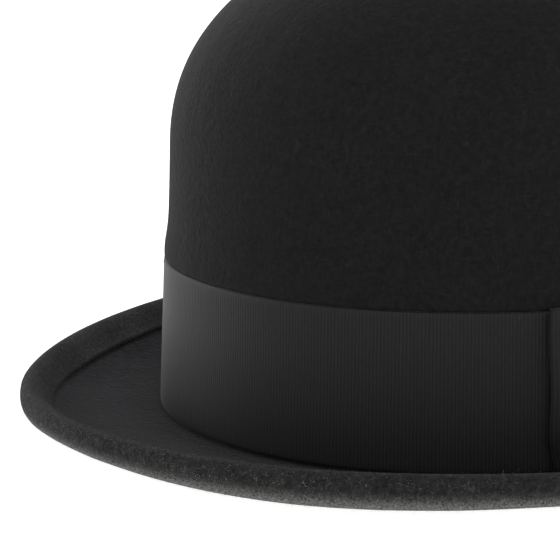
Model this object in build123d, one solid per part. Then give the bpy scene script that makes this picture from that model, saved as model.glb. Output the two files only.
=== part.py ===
# Bowler hat: stiff wool felt crown with a rolled, overwelted brim, grosgrain
# ribbon with a flat side bow, reeded leather sweatband and a satin lining.
# Millimetres. X+ = wearer's left (bow side), Y- = front, Z+ = up,
# Z = 0 is the flat ring of the brim's underside round the head opening.
import os
from math import cos, hypot, pi, sin

from build123d import *

# ---------------------------------------------------------------- dimensions
crown_a = 103.7        # crown root, outside half length, front to back
crown_b = 86.9         # crown root, outside half width
crown_square = 0.027   # how much fuller than an ellipse the crown oval is
crown_taper = 0.046    # inset per mm of height of the crown wall
taper_to = 71.8        # height above the ribbon foot where the dome starts
crown_h = 134.9        # dome top above the ribbon foot
dome_p, dome_q = 2.13, 2.20
felt = 2.4             # felt thickness
foot_z = 2.9           # foot of the ribbon above the resting plane

edge_a = 144.0         # brim outside half length
edge_b = 125.3         # brim outside half width
edge_six = 0.0036
welt_in = 8.96         # how far inside the edge the overwelt's free edge lies
flat_ring = 6.0        # flat underside ring outside the crown root
rise_pow = 1.35        # how the brim curves up from the ring to the roll

ribbon_h = 40.3        # grosgrain ribbon width
ribbon_t = 0.9
lining_t = 0.35
lining_foot = 34.0     # lower edge of the lining, behind the sweatband
piping_h = 104.0       # height of the seam between side lining and tip
band_top_h = 56.4      # upper edge of the leather sweatband
leather = 1.2
reed_r = 1.05
bow_half = 45.4        # half length of the bow along the ribbon
knot_w = 15.0          # bow knot width

N = 24                 # points round an oval
TT = [2 * pi * i / N for i in range(N)]


# ------------------------------------------------------------ shape functions
def full(e, t):
    return 1 + e * (1 - cos(4 * t)) / 2


def taper(h):
    d = 15.0
    x = min(max((h - (taper_to - d)) / (2 * d), 0.0), 1.0)
    return crown_taper * (min(h, taper_to - d) + 2 * d * (x - 0.5 * x * x))


def dome(h, o=0.0):
    x = min(max((h - taper_to) / (crown_h - o - taper_to), 0.0), 1.0)
    return max(1 - x**dome_p, 1e-9) ** (1 / dome_q)


def crown_pt(h, t, o=0.0):
    """Point of the crown at height h above the ribbon foot, o mm inside the felt's face."""
    s, k, m = dome(h, o), taper(h), full(crown_square, t)
    return (
        (crown_b - o - k) * s * sin(t) * m,
        -(crown_a - o - k) * s * cos(t) * m,
        h + foot_z,
    )


def ridge_z(t):
    """Height of the brim's top ridge: a hand rolled edge, a little uneven left to right."""
    return (12.60 - 1.20 * cos(2 * t) + 0.18 * cos(4 * t) + 0.23 * cos(6 * t)
            - 0.34 * sin(t) + 0.76 * sin(3 * t) + 0.20 * sin(5 * t))


def plump(t):
    """Thickness of the rolled edge relative to its mean section."""
    return 1.0154 + 0.0152 * cos(2 * t) - 0.1185 * cos(4 * t) - 0.0362 * sin(t)


def brim_xy(t, u=None, w=None):
    """Plan point u mm outside the crown root, or w mm inside the brim's edge."""
    me, mc = 1 + edge_six * (1 - cos(6 * t)), full(crown_square, t)
    ex, ey = edge_b * sin(t) * me, -edge_a * cos(t) * me
    rx, ry = crown_b * sin(t) * mc, -crown_a * cos(t) * mc
    length = hypot(ex - rx, ey - ry)
    if u is None:
        u = length - w
    return rx + (ex - rx) * u / length, ry + (ey - ry) * u / length, length


def under_z(t, u, length):
    """Height of the brim's underside from the flat ring to the foot of the roll."""
    top = ridge_z(t) - 8.7 * plump(t)
    x = max((u - flat_ring) / (length - welt_in - flat_ring), 0.0)
    return top * x**rise_pow


def crown_ring(h, o=0.0):
    return [crown_pt(h, t, o) for t in TT]


def brim_ring(g, lift):
    """Ring at share g of the way from the flat ring's edge to the foot of the roll."""
    pts = []
    for t in TT:
        length = brim_xy(t, u=0)[2]
        u = flat_ring + g * (length - welt_in - flat_ring)
        x, y, _ = brim_xy(t, u=u)
        pts.append((x, y, under_z(t, u, length) + lift))
    return pts


def near_ring(u, z):
    return [(*brim_xy(t, u=u)[:2], z) for t in TT]


def roll_ring(w, dz):
    """Ring w mm inside the edge and dz mm (of a mean section) from the ridge."""
    return [(*brim_xy(t, w=w)[:2], ridge_z(t) + dz * plump(t)) for t in TT]


def lip_ring(w, share):
    """Ring between the brim's floor and the free edge of the overwelt."""
    pts = []
    for t in TT:
        low, top = -8.7 * plump(t) + felt, -5.2 * plump(t)
        pts.append((*brim_xy(t, w=w)[:2], ridge_z(t) + low + share * (top - low)))
    return pts


def flat_oval(a, b, z, e=crown_square):
    return [(b * sin(t) * full(e, t), -a * cos(t) * full(e, t), z) for t in TT]


# ------------------------------------------------------------------- builders
def wire(points):
    return Wire([Edge.make_spline([Vector(*p) for p in points], periodic=True)])


def skin(rings):
    return Shell.make_loft([wire(r) for r in rings], ruled=len(rings) == 2).faces()


def closed(faces):
    groups = Face.sew_faces(faces)
    solid = Solid(Shell(groups[0]))
    if solid.volume < 0:
        solid = Solid(-Shell(groups[0]))
    return solid


def hoop(*runs):
    """Ring-shaped solid from runs of rings that close on themselves."""
    faces = []
    for run in runs:
        faces += skin(run)
    return closed(faces)


def write(shape, name):
    shape.label = name
    export_step(shape, "parts/" + name + ".step")
    print(name, round(shape.volume, 1), shape.is_valid)


os.makedirs("parts", exist_ok=True)

# ------------------------------------------------------------------ felt body
# Crown, brim and overwelt are one hood of felt, blocked in one piece.
low = [0.0, ribbon_h]
straight = taper_to - 15.0      # below this height the crown wall is straight
high = [straight, 64, 71, 78, 85, 92, 99, 105.5, 111.5, 117, 122, 126.5, 130, 132.5, 134.0,
        134.6]
inner = [straight, 64, 71, 78, 85, 92, 98.5, 104.5, 110, 115, 119.5, 123.7, 127.3, 129.9, 131.5,
         132.1]
outer_wall = [crown_ring(h) for h in low]
outer_band = [crown_ring(ribbon_h), crown_ring(straight)]
outer_dome = [crown_ring(h) for h in high]
inner_low = [crown_ring(-0.4, felt), crown_ring(straight, felt)]
inner_wall = [crown_ring(h, felt) for h in inner]
break_rings = [crown_ring(0.0), near_ring(0.5, felt + 0.08), near_ring(1.6, felt),
               near_ring(flat_ring, felt)]
floor = [brim_ring(g, felt) for g in (0.0, 0.2, 0.45, 0.72, 1.0)]
riser = [floor[-1], lip_ring(8.94, 0.6), lip_ring(8.6, 1.06), roll_ring(7.75, -4.62)]
welt_face = [riser[-1], roll_ring(6.2, -3.62), roll_ring(4.56, -2.16), roll_ring(3.1, -0.72),
             roll_ring(1.64, 0.0)]
nose = [welt_face[-1], roll_ring(0.75, -0.72), roll_ring(0.15, -2.1), roll_ring(0.0, -3.8),
        roll_ring(0.25, -5.5), roll_ring(0.95, -6.95), roll_ring(2.2, -7.87)]
heel = [nose[-1], roll_ring(4.4, -8.5), roll_ring(6.7, -8.74), brim_ring(1.0, 0.0)]
under = [brim_ring(g, 0.0) for g in (1.0, 0.72, 0.45, 0.2, 0.0)]
lip = [[(x, y, 0.0) for x, y, _ in crown_ring(-0.4, felt - 0.8)],
       [(x, y, 0.8) for x, y, _ in crown_ring(-0.4, felt)]]
mouth = [lip[1], crown_ring(-0.4, felt)]
faces = []
for run in (outer_wall, outer_band, outer_dome, break_rings, floor, riser, welt_face, nose, heel, under,
            lip, mouth, inner_low, inner_wall):
    faces += skin(run)
faces.append(Face(wire(outer_dome[-1])))
faces.append(Face(wire(inner_wall[-1])))
faces.append(Face(wire(under[-1]), [wire(lip[0])]))
felt_body = closed(faces)
write(felt_body, "felt_body")

# ---------------------------------------------------------------- hat ribbon
ri = -0.1
ro = ri - ribbon_t + 0.05
ribbon = hoop(
    [crown_ring(h, ri) for h in low],
    [crown_ring(ribbon_h, ri), crown_ring(ribbon_h, ro)],
    [crown_ring(h, ro) for h in low[::-1]],
    [crown_ring(0.0, ro), crown_ring(0.0, ri)],
)
write(ribbon, "hat_ribbon")


# ------------------------------------------------------------------------ bow
def tangent_len(t0, t1, h=20.0, n=60):
    pts = [crown_pt(h, t0 + (t1 - t0) * i / n, -ribbon_t) for i in range(n + 1)]
    return sum(hypot(q[0] - p[0], q[1] - p[1]) for p, q in zip(pts, pts[1:]))


def angle_at(s):
    """Angle whose ribbon point lies s mm from the left side; positive s is forward."""
    lo, hi = 0.2, pi / 2
    for _ in range(40):
        mid = (lo + hi) / 2
        if tangent_len(mid, pi / 2) > abs(s):
            lo = mid
        else:
            hi = mid
    t = (lo + hi) / 2
    return t if s >= 0 else pi - t


def plate(h, s0, s1, o0, o1):
    """Closed plan outline at height h between two distances along the ribbon."""
    n = 5
    ts = [angle_at(s0 + (s1 - s0) * i / n) for i in range(n + 1)]
    back = [Vector(*crown_pt(h, t, o0)) for t in ts]
    face = [Vector(*crown_pt(h, t, o1)) for t in ts]
    mid = Vector(*crown_pt(h, angle_at(s1 + (0.48 if s1 > s0 else -0.48) * abs(o0 - o1)),
                           (o0 + o1) / 2))
    return Wire([
        Edge.make_spline(back),
        Edge.make_three_point_arc(back[-1], mid, face[-1]),
        Edge.make_spline(face[::-1]),
        Edge.make_line(face[0], back[0]),
    ])


def loft_plate(s0, s1, o0, o1, h0, h1):
    return Solid.make_loft([plate(h0, s0, s1, o0, o1), plate((h0 + h1) / 2, s0, s1, o0, o1),
                            plate(h1, s0, s1, o0, o1)])


def loop(sign):
    """A flat ribbon loop, open above and below, its closed end away from the knot."""
    tip = bow_half - 2.0
    body = loft_plate(sign * 1.0, sign * tip, ro - 0.15, ro - 4.75, 0.8, ribbon_h + 0.8)
    hole = loft_plate(sign * (knot_w / 2 + 2.0), sign * (tip - 0.9), ro - 1.0, ro - 3.9,
                      -1.0, ribbon_h + 2.0)
    body = body - hole
    x0 = crown_pt(20, pi / 2)[0]
    # the ribbon is gathered to a narrower height where the knot holds it
    y = -sign
    for side in (0, 1):
        zf = foot_z + (0.8 if side == 0 else ribbon_h + 0.8)
        dz = 2.9 if side == 0 else -3.4
        cut = Polyline(
            (x0, y * -1.0, zf + dz), (x0, y * (knot_w / 2 + 0.8), zf + dz),
            (x0, y * (knot_w / 2 + 15), zf), (x0, y * (knot_w / 2 + 15), zf - dz),
            (x0, y * -1.0, zf - dz), close=True)
        body = body - Solid.extrude(Face(Wire(cut.edges())), Vector(14, 0, 0)).moved(
            Location((-7, 0, 0)))
    return body.solids()[0] if len(body.solids()) == 1 else max(
        body.solids(), key=lambda s: s.volume)


front_loop = loop(1)
rear_loop = loop(-1)
write(front_loop, "bow_front_loop")
write(rear_loop, "bow_rear_loop")

# knot: a strap of ribbon over the gathered middle, its ends sewn to the ribbon
k0, k1 = 0.3 + 3.4, ribbon_h + 0.8 - 3.4
kt = 0.9


def slab(h, s0, s1, o0, o1):
    ts = [angle_at(s0 + (s1 - s0) * i / 4) for i in range(5)]
    back = [Vector(*crown_pt(h, t, o0)) for t in ts]
    face = [Vector(*crown_pt(h, t, o1)) for t in ts]
    return Wire([Edge.make_spline(back), Edge.make_line(back[-1], face[-1]),
                 Edge.make_spline(face[::-1]), Edge.make_line(face[0], back[0])])


def block(s0, s1, o0, o1, h0, h1):
    return Solid.make_loft([slab(h0, s0, s1, o0, o1), slab(h1, s0, s1, o0, o1)])


half = knot_w / 2
knot = block(-half, half, ro - 0.15, ro - 4.85 - kt, k0 - kt - 0.1, k1 + kt + 0.1)
knot = knot - block(-half - 2, half + 2, ro + 1.0, ro - 4.85, k0 - 0.1, k1 + 0.1)
knot = max(knot.solids(), key=lambda k: k.volume)
write(knot, "bow_knot")

# -------------------------------------------------------------------- inside
# reed: piped cord that stiffens the foot of the sweatband
reed_path = [crown_pt(-0.4, t, felt + 0.25 + reed_r) for t in TT]
reed_z = 1.75
sec = 8


def reed_ring(k):
    ang = 2 * pi * k / sec
    return [(x, y, reed_z + reed_r * sin(ang)) for x, y, _ in
            crown_ring(-0.4, felt + 0.25 + reed_r + reed_r * cos(ang))]


reed_faces = []
for q in range(4):
    run = []
    for j in range(3):
        ang = pi / 2 * (q + j / 2)
        run.append([(x, y, reed_z + reed_r * sin(ang)) for x, y, _ in
                    crown_ring(-0.4, felt + 0.25 + reed_r + reed_r * cos(ang))])
    reed_faces += skin(run)
reed = closed(reed_faces)
write(reed, "sweatband_reed")

# leather sweatband standing against the lining, its foot over the reed
so = felt + 0.15 + lining_t + 0.25
s_levels = [0.1, band_top_h]
sweat = hoop(
    [crown_ring(h, so) for h in s_levels],
    [crown_ring(band_top_h, so), crown_ring(band_top_h + 0.35, so + 0.35),
     crown_ring(band_top_h + 0.35, so + leather - 0.35), crown_ring(band_top_h, so + leather)],
    [crown_ring(h, so + leather) for h in s_levels[::-1]],
    [crown_ring(0.1, so + leather), crown_ring(0.1, so)],
)
write(sweat, "sweatband")

# satin side lining, and the satin tip inside the dome
lo = felt + 0.15
side_levels = [straight, 64, 71, 78, 85, 92, 98, piping_h - 1.3]
side = hoop(
    [crown_ring(lining_foot, lo), crown_ring(straight, lo)],
    [crown_ring(h, lo) for h in side_levels],
    [crown_ring(side_levels[-1], lo), crown_ring(side_levels[-1], lo + lining_t)],
    [crown_ring(h, lo + lining_t) for h in side_levels[::-1]],
    [crown_ring(straight, lo + lining_t), crown_ring(lining_foot, lo + lining_t)],
    [crown_ring(lining_foot, lo + lining_t), crown_ring(lining_foot, lo)],
)
write(side, "lining_side")


def tip_shell(name, o, t, h_start, levels_o, levels_i):
    a = [crown_ring(h, o) for h in [h_start] + levels_o]
    b = [crown_ring(h, o + t) for h in [h_start] + levels_i]
    fs = skin(a) + skin(b) + skin([a[0], b[0]])
    fs += [Face(wire(a[-1])), Face(wire(b[-1]))]
    s = closed(fs)
    write(s, name)
    return s


tip = tip_shell("lining_tip", lo, lining_t, piping_h + 1.3,
                [109.5, 113.5, 117.4, 121.2, 124.6, 127.5, 129.7, 131.1, 131.8],
                [109.5, 113.5, 117.4, 121.0, 124.3, 127.1, 129.3, 130.7, 131.4])
guard = tip_shell("tip_guard", lo + lining_t + 0.25, 0.25, 123.0,
                  [125.4, 127.6, 129.3, 130.5, 131.1],
                  [125.3, 127.4, 129.1, 130.25, 130.85])

# piping cord in the seam between the two lining pieces
pr = 0.85
piping = hoop(*[
    [[(x, y, piping_h + foot_z + pr * sin(pi / 2 * (q + j / 2))) for x, y, _ in
      crown_ring(piping_h, lo + 0.1 + pr + pr * cos(pi / 2 * (q + j / 2)))] for j in range(3)]
    for q in range(4)])
write(piping, "lining_piping")


# ------------------------------------------------------ small sewn-on pieces
def placed(shape, h, t, o, roll=0.0):
    """Lay a small piece flat on the oval at offset o: its X is outward, Z is up."""
    p, q = crown_pt(h, t - 1e-3, o), crown_pt(h, t + 1e-3, o)
    tx, ty = q[0] - p[0], q[1] - p[1]
    n = hypot(tx, ty)
    tx, ty = tx / n, ty / n
    c = crown_pt(h, t, o)
    plane = Plane(origin=c, x_dir=(ty, -tx, 0), z_dir=(0, 0, 1))
    return plane.location * (Rotation(0, -2.6, 0) * (Rotation(roll, 0, 0) * shape))


def stitch(length, thick=0.3):
    s = Box(thick, length, thick)
    return s


# tacks that hold the ribbon to the felt, along both of its edges
tacks = []
for i in range(8):
    t = pi / 8 + i * pi / 4 + {1: -0.12, 2: 0.12}.get(i, 0.0)
    tacks.append(placed(stitch(1.6), 38.9, t, ro - 0.25))
    tacks.append(placed(stitch(1.6), 1.5, t, ro - 0.25))
tacks = Compound(children=[b if isinstance(b, Solid) else b.solid() for b in tacks])
write(tacks, "ribbon_tacks")

# lock stitches along the foot of the sweatband, seen from inside the hat
n_st = 84
sts = []
for i in range(n_st):
    t = 2 * pi * (i + 0.5) / n_st
    sts.append(placed(stitch(2.6, 0.34), 3.4, t, so + leather + 0.27).solid())
write(Compound(children=sts), "sweatband_stitches")

# the sweatband's join at the back, with its flat bow of narrow ribbon
tail = Box(0.7, 17.0, 6.0)
tail = tail - Location((0, 9.5, 0)) * (Rotation(45, 0, 0) * Box(2, 3.2, 3.2))
tail = tail - Location((0, -9.5, 0)) * (Rotation(45, 0, 0) * Box(2, 3.2, 3.2))
knotlet = Box(1.5, 4.2, 6.9) - Box(0.7 + 0.0, 5, 6.0)
inner_face = so + leather
rear = placed(tail, 46.0, pi, inner_face + 1.55).solid()
rear_knot = placed(knotlet, 46.0, pi, inner_face + 1.55).solid()
write(Compound(children=[rear, rear_knot]), "sweatband_bow")

# blank size tab, sewn to the side lining above the sweatband
tab = placed(Box(0.3, 13.0, 17.0), 69.0, 3 * pi / 2, lo + lining_t + 0.75).solid()
write(tab, "size_tab")
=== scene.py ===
# Bowler hat, visual model. Metres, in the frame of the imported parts:
# X+ wearer's left, Y- front, Z+ up, Z = 0 the flat ring under the brim.
import math

import bmesh
import bpy
import numpy as np
from mathutils import Matrix, Vector


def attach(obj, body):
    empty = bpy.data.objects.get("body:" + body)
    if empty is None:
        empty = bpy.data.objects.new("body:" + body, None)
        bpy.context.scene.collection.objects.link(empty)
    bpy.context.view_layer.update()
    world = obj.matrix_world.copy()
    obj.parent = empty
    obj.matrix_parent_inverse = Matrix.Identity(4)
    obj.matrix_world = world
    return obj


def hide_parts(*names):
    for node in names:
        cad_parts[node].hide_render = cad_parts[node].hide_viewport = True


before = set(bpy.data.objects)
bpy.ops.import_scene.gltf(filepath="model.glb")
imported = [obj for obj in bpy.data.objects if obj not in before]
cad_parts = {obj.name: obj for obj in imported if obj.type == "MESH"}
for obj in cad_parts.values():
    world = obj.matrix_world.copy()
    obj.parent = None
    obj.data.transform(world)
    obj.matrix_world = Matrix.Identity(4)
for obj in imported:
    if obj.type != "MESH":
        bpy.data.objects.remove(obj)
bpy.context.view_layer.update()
MM = 0.001
rng = np.random.default_rng(7)

# ------------------------------------------------------------------ dimensions
P = dict(
    ca=103.7, cb=86.9, csq=0.027, tap=0.046, h1=71.8, ht=134.9, p=2.13, q=2.20, foot=2.9, felt=2.4,
    ea=144.0, eb=125.3, e6=0.0036, win=8.96, flat=6.0, rise=1.35,
    rh=40.3, rt=0.9,
)


def full(e, t):
    return 1 + e * (1 - np.cos(4 * t)) / 2


def taper(h):
    x = np.clip((h - (P["h1"] - 15)) / 30, 0, 1)
    return P["tap"] * (np.minimum(h, P["h1"] - 15) + 30 * (x - 0.5 * x * x))


def dome(h, o):
    x = np.clip((h - P["h1"]) / (P["ht"] - o - P["h1"]), 0, 1)
    return np.clip(1 - x ** P["p"], 0, 1) ** (1 / P["q"])


def crown(h, t, o=0.0):
    """Points of the crown wall in mm, o mm inside the outer face of the felt."""
    h, t, o = np.broadcast_arrays(np.asarray(h, float), np.asarray(t, float), np.asarray(o, float))
    s, k, m = dome(h, np.maximum(o, 0)), taper(h), full(P["csq"], t)
    return np.stack([(P["cb"] - o - k) * s * np.sin(t) * m,
                     -(P["ca"] - o - k) * s * np.cos(t) * m, h + P["foot"]], -1)


def ridge(t):
    return (12.60 - 1.20 * np.cos(2 * t) + 0.18 * np.cos(4 * t) + 0.23 * np.cos(6 * t)
            - 0.34 * np.sin(t) + 0.76 * np.sin(3 * t) + 0.20 * np.sin(5 * t))


def plump(t):
    return 1.0154 + 0.0152 * np.cos(2 * t) - 0.1185 * np.cos(4 * t) - 0.0362 * np.sin(t)


def plan(t, u=None, w=None):
    me, mc = 1 + P["e6"] * (1 - np.cos(6 * t)), full(P["csq"], t)
    ex, ey = P["eb"] * np.sin(t) * me, -P["ea"] * np.cos(t) * me
    rx, ry = P["cb"] * np.sin(t) * mc, -P["ca"] * np.cos(t) * mc
    length = np.hypot(ex - rx, ey - ry)
    if u is None:
        u = length - w
    return rx + (ex - rx) * u / length, ry + (ey - ry) * u / length, length, u


def under(t, u, length):
    top = ridge(t) - 8.7 * plump(t)
    x = np.clip((u - P["flat"]) / (length - P["win"] - P["flat"]), 0, None)
    return top * x ** P["rise"]


# ------------------------------------------------------------- mesh helpers
def add_mesh(name, verts, faces, uvs=None, smooth=True):
    me = bpy.data.meshes.new(name)
    me.from_pydata((np.asarray(verts) * MM).tolist(), [], [list(map(int, f)) for f in faces])
    me.validate()
    if uvs is not None:
        layer = me.uv_layers.new(name="UVMap")
        idx = np.empty(len(me.loops), dtype=np.int32)
        me.loops.foreach_get("vertex_index", idx)
        layer.data.foreach_set("uv", np.asarray(uvs, dtype=np.float32)[idx].ravel())
    if smooth:
        me.polygons.foreach_set("use_smooth", np.ones(len(me.polygons), dtype=bool))
    me.update()
    ob = bpy.data.objects.new(name, me)
    bpy.context.scene.collection.objects.link(ob)
    return ob


def grid_faces(nr, nc, wrap_c=True, wrap_r=False, flip=False, base=0):
    """Quads of a grid of nr rows by nc columns."""
    r = np.arange(nr if wrap_r else nr - 1)
    c = np.arange(nc if wrap_c else nc - 1)
    R, C = np.meshgrid(r, c, indexing="ij")
    R2, C2 = (R + 1) % nr, (C + 1) % nc
    f = np.stack([R * nc + C, R * nc + C2, R2 * nc + C2, R2 * nc + C], -1).reshape(-1, 4) + base
    return f[:, ::-1] if flip else f


def smooth_noise(t, z, seed, freqs, amp):
    """Sum of a few seeded waves round the hat, periodic in t."""
    g = np.random.default_rng(seed)
    out = 0
    for k in freqs:
        a, ph, kz, pz = g.normal(), g.uniform(0, 2 * np.pi), g.uniform(0.01, 0.06), g.uniform(0, 2 * np.pi)
        out = out + a * np.cos(k * t + ph) * np.cos(kz * z + pz)
    return amp * out / math.sqrt(len(freqs))


# ---------------------------------------------------------------- materials
def mat(name):
    m = bpy.data.materials.new(name)
    m.use_nodes = True
    nt = m.node_tree
    b = nt.nodes["Principled BSDF"]
    return m, nt, b


def node(nt, kind, **kw):
    n = nt.nodes.new(kind)
    for k, v in kw.items():
        if k in n.inputs.keys():
            n.inputs[k].default_value = v
        else:
            setattr(n, k, v)
    return n


def link(nt, a, b):
    nt.links.new(a, b)


def ramp(nt, fac, stops):
    r = nt.nodes.new("ShaderNodeValToRGB")
    while len(r.color_ramp.elements) < len(stops):
        r.color_ramp.elements.new(0.5)
    for e, (pos, col) in zip(r.color_ramp.elements, stops):
        e.position = pos
        e.color = (*col, 1) if len(col) == 3 else col
    link(nt, fac, r.inputs[0])
    return r


def felt_material(name, tones, sheen, bump_mm, mottling, speckle, sheen_rough=0.34, rubbed_and_lit_colour=None):
    m, nt, b = mat(name)
    tc = node(nt, "ShaderNodeTexCoord")
    fine = node(nt, "ShaderNodeTexNoise", Scale=1900.0, Detail=4.0, Roughness=0.65)
    mid = node(nt, "ShaderNodeTexNoise", Scale=520.0, Detail=3.0, Roughness=0.6)
    big = node(nt, "ShaderNodeTexNoise", Scale=45.0, Detail=4.0, Roughness=0.6)
    for n in (fine, mid, big):
        link(nt, tc.outputs["Object"], n.inputs["Vector"])
    # short matted fibres: stretched noise in three directions
    fib = []
    for rot, sc in (((0.5, 0.2, 0.3), (1, 5, 1)), ((1.4, 0.7, 2.1), (5, 1, 1.5)), ((2.3, 1.9, 0.8), (1, 1.2, 5))):
        mp = node(nt, "ShaderNodeMapping")
        mp.inputs["Rotation"].default_value = rot
        mp.inputs["Scale"].default_value = sc
        link(nt, tc.outputs["Object"], mp.inputs["Vector"])
        f = node(nt, "ShaderNodeTexNoise", Scale=420.0, Detail=3.0, Roughness=0.6)
        link(nt, mp.outputs[0], f.inputs["Vector"])
        fib.append(f)
    mx1 = node(nt, "ShaderNodeMath", operation="MAXIMUM")
    link(nt, fib[0].outputs["Fac"], mx1.inputs[0])
    link(nt, fib[1].outputs["Fac"], mx1.inputs[1])
    mx2 = node(nt, "ShaderNodeMath", operation="MAXIMUM")
    link(nt, mx1.outputs[0], mx2.inputs[0])
    link(nt, fib[2].outputs["Fac"], mx2.inputs[1])
    col = ramp(nt, mx2.outputs[0], [(0.42, tones[0]), (0.62, tones[1]), (0.80, tones[2])])
    lo_, hi_ = 1 - mottling, 1 + mottling
    tint = ramp(nt, big.outputs["Fac"], [(0.3, (lo_, lo_, lo_ + 0.03)), (0.7, (hi_, hi_ - 0.01, hi_ - 0.03))])
    mul = node(nt, "ShaderNodeMix", data_type="RGBA", blend_type="MULTIPLY")
    mul.inputs["Factor"].default_value = 1.0
    link(nt, col.outputs[0], mul.inputs["A"])
    link(nt, tint.outputs[0], mul.inputs["B"])
    speck = node(nt, "ShaderNodeTexNoise", Scale=640.0, Detail=2.0, Roughness=0.55)
    link(nt, tc.outputs["Object"], speck.inputs["Vector"])
    st = ramp(nt, speck.outputs["Fac"], [(0.32, (1 - speckle,) * 3), (0.68, (1 + speckle,) * 3)])
    mul2 = node(nt, "ShaderNodeMix", data_type="RGBA", blend_type="MULTIPLY")
    mul2.inputs["Factor"].default_value = 1.0
    link(nt, mul.outputs["Result"], mul2.inputs["A"])
    link(nt, st.outputs[0], mul2.inputs["B"])
    out = mul2.outputs["Result"]
    # pale colour mixed in by a per-point attribute: rubbed fuzz, partly also painted light (floor light on the lower
    # roll, a highlight on the lit side)
    if rubbed_and_lit_colour is not None:
        at = node(nt, "ShaderNodeAttribute")
        at.attribute_name = "rub_and_painted_light"
        fray = node(nt, "ShaderNodeMath", operation="MULTIPLY_ADD")
        link(nt, fine.outputs["Fac"], fray.inputs[0])
        fray.inputs[1].default_value = 2.6
        fray.inputs[2].default_value = -0.85
        both = node(nt, "ShaderNodeMath", operation="MULTIPLY", use_clamp=True)
        link(nt, at.outputs["Fac"], both.inputs[0])
        link(nt, fray.outputs[0], both.inputs[1])
        mw = node(nt, "ShaderNodeMix", data_type="RGBA", blend_type="MIX")
        link(nt, both.outputs[0], mw.inputs["Factor"])
        link(nt, out, mw.inputs["A"])
        mw.inputs["B"].default_value = (*rubbed_and_lit_colour, 1)
        out = mw.outputs["Result"]
    # painted shade: a per-point attribute mixes the base colour towards near-black where the crown and ribbon shade the
    # brim
    painted_shade = node(nt, "ShaderNodeAttribute")
    painted_shade.attribute_name = "painted_shade"
    mf = node(nt, "ShaderNodeMix", data_type="RGBA", blend_type="MIX")
    link(nt, painted_shade.outputs["Fac"], mf.inputs["Factor"])
    link(nt, out, mf.inputs["A"])
    mf.inputs["B"].default_value = (0.0012, 0.0012, 0.0013, 1)
    out = mf.outputs["Result"]
    link(nt, out, b.inputs["Base Color"])
    b.inputs["Roughness"].default_value = 1.0
    b.inputs["Specular IOR Level"].default_value = 0.08
    b.inputs["Sheen Weight"].default_value = sheen
    b.inputs["Sheen Roughness"].default_value = sheen_rough
    b.inputs["Sheen Tint"].default_value = (0.94, 0.95, 1.0, 1)
    add1 = node(nt, "ShaderNodeMath", operation="MULTIPLY_ADD")
    add1.inputs[1].default_value = 0.55
    link(nt, fine.outputs["Fac"], add1.inputs[0])
    link(nt, mx2.outputs[0], add1.inputs[2])
    add2 = node(nt, "ShaderNodeMath", operation="MULTIPLY_ADD")
    add2.inputs[1].default_value = 0.9
    link(nt, mid.outputs["Fac"], add2.inputs[0])
    link(nt, add1.outputs[0], add2.inputs[2])
    bump = node(nt, "ShaderNodeBump", Strength=0.9, Distance=bump_mm * MM)
    link(nt, add2.outputs[0], bump.inputs["Height"])
    link(nt, bump.outputs[0], b.inputs["Normal"])
    return m


felt_mat = felt_material("black_wool_felt", ((0.0063, 0.0063, 0.0067), (0.0093, 0.0093, 0.0098), (0.0145, 0.0144, 0.0151)),
                         0.080, 0.32, 0.07, 0.17)
floor_mat = felt_material("black_wool_felt_brim", ((0.0070, 0.0070, 0.0080), (0.0130, 0.0130, 0.0143), (0.027, 0.027, 0.0290)),
                          0.10, 0.28, 0.20, 0.50)
# the roll's pale mix colour is partly rubbed fuzz and partly painted light
roll_mat = felt_material("black_wool_felt_roll", ((0.0100, 0.0100, 0.0100), (0.0175, 0.0175, 0.0174), (0.038, 0.0375, 0.0362)),
                         0.050, 0.60, 0.20, 0.34, rubbed_and_lit_colour=(0.235, 0.232, 0.222))


def fibre_material(name, col, sheen=0.2):
    m, nt, b = mat(name)
    tc = node(nt, "ShaderNodeTexCoord")
    n = node(nt, "ShaderNodeTexNoise", Scale=900.0, Detail=1.0)
    link(nt, tc.outputs["Object"], n.inputs["Vector"])
    c = ramp(nt, n.outputs["Fac"], [(0.35, tuple(0.45 * x for x in col)), (0.6, col), (0.72, tuple(2.2 * x for x in col))])
    link(nt, c.outputs[0], b.inputs["Base Color"])
    b.inputs["Roughness"].default_value = 0.75
    b.inputs["Specular IOR Level"].default_value = 0.25
    b.inputs["Sheen Weight"].default_value = sheen
    return m


fuzz_mat = fibre_material("felt_fibres", (0.014, 0.014, 0.0145), sheen=0.05)
# pale fibres: partly rubbed fuzz, partly painted light on the lower roll and the lit side
pale_lit_fuzz_mat = fibre_material("rubbed_and_lit_fibres", (0.20, 0.198, 0.190), sheen=0.1)


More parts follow.
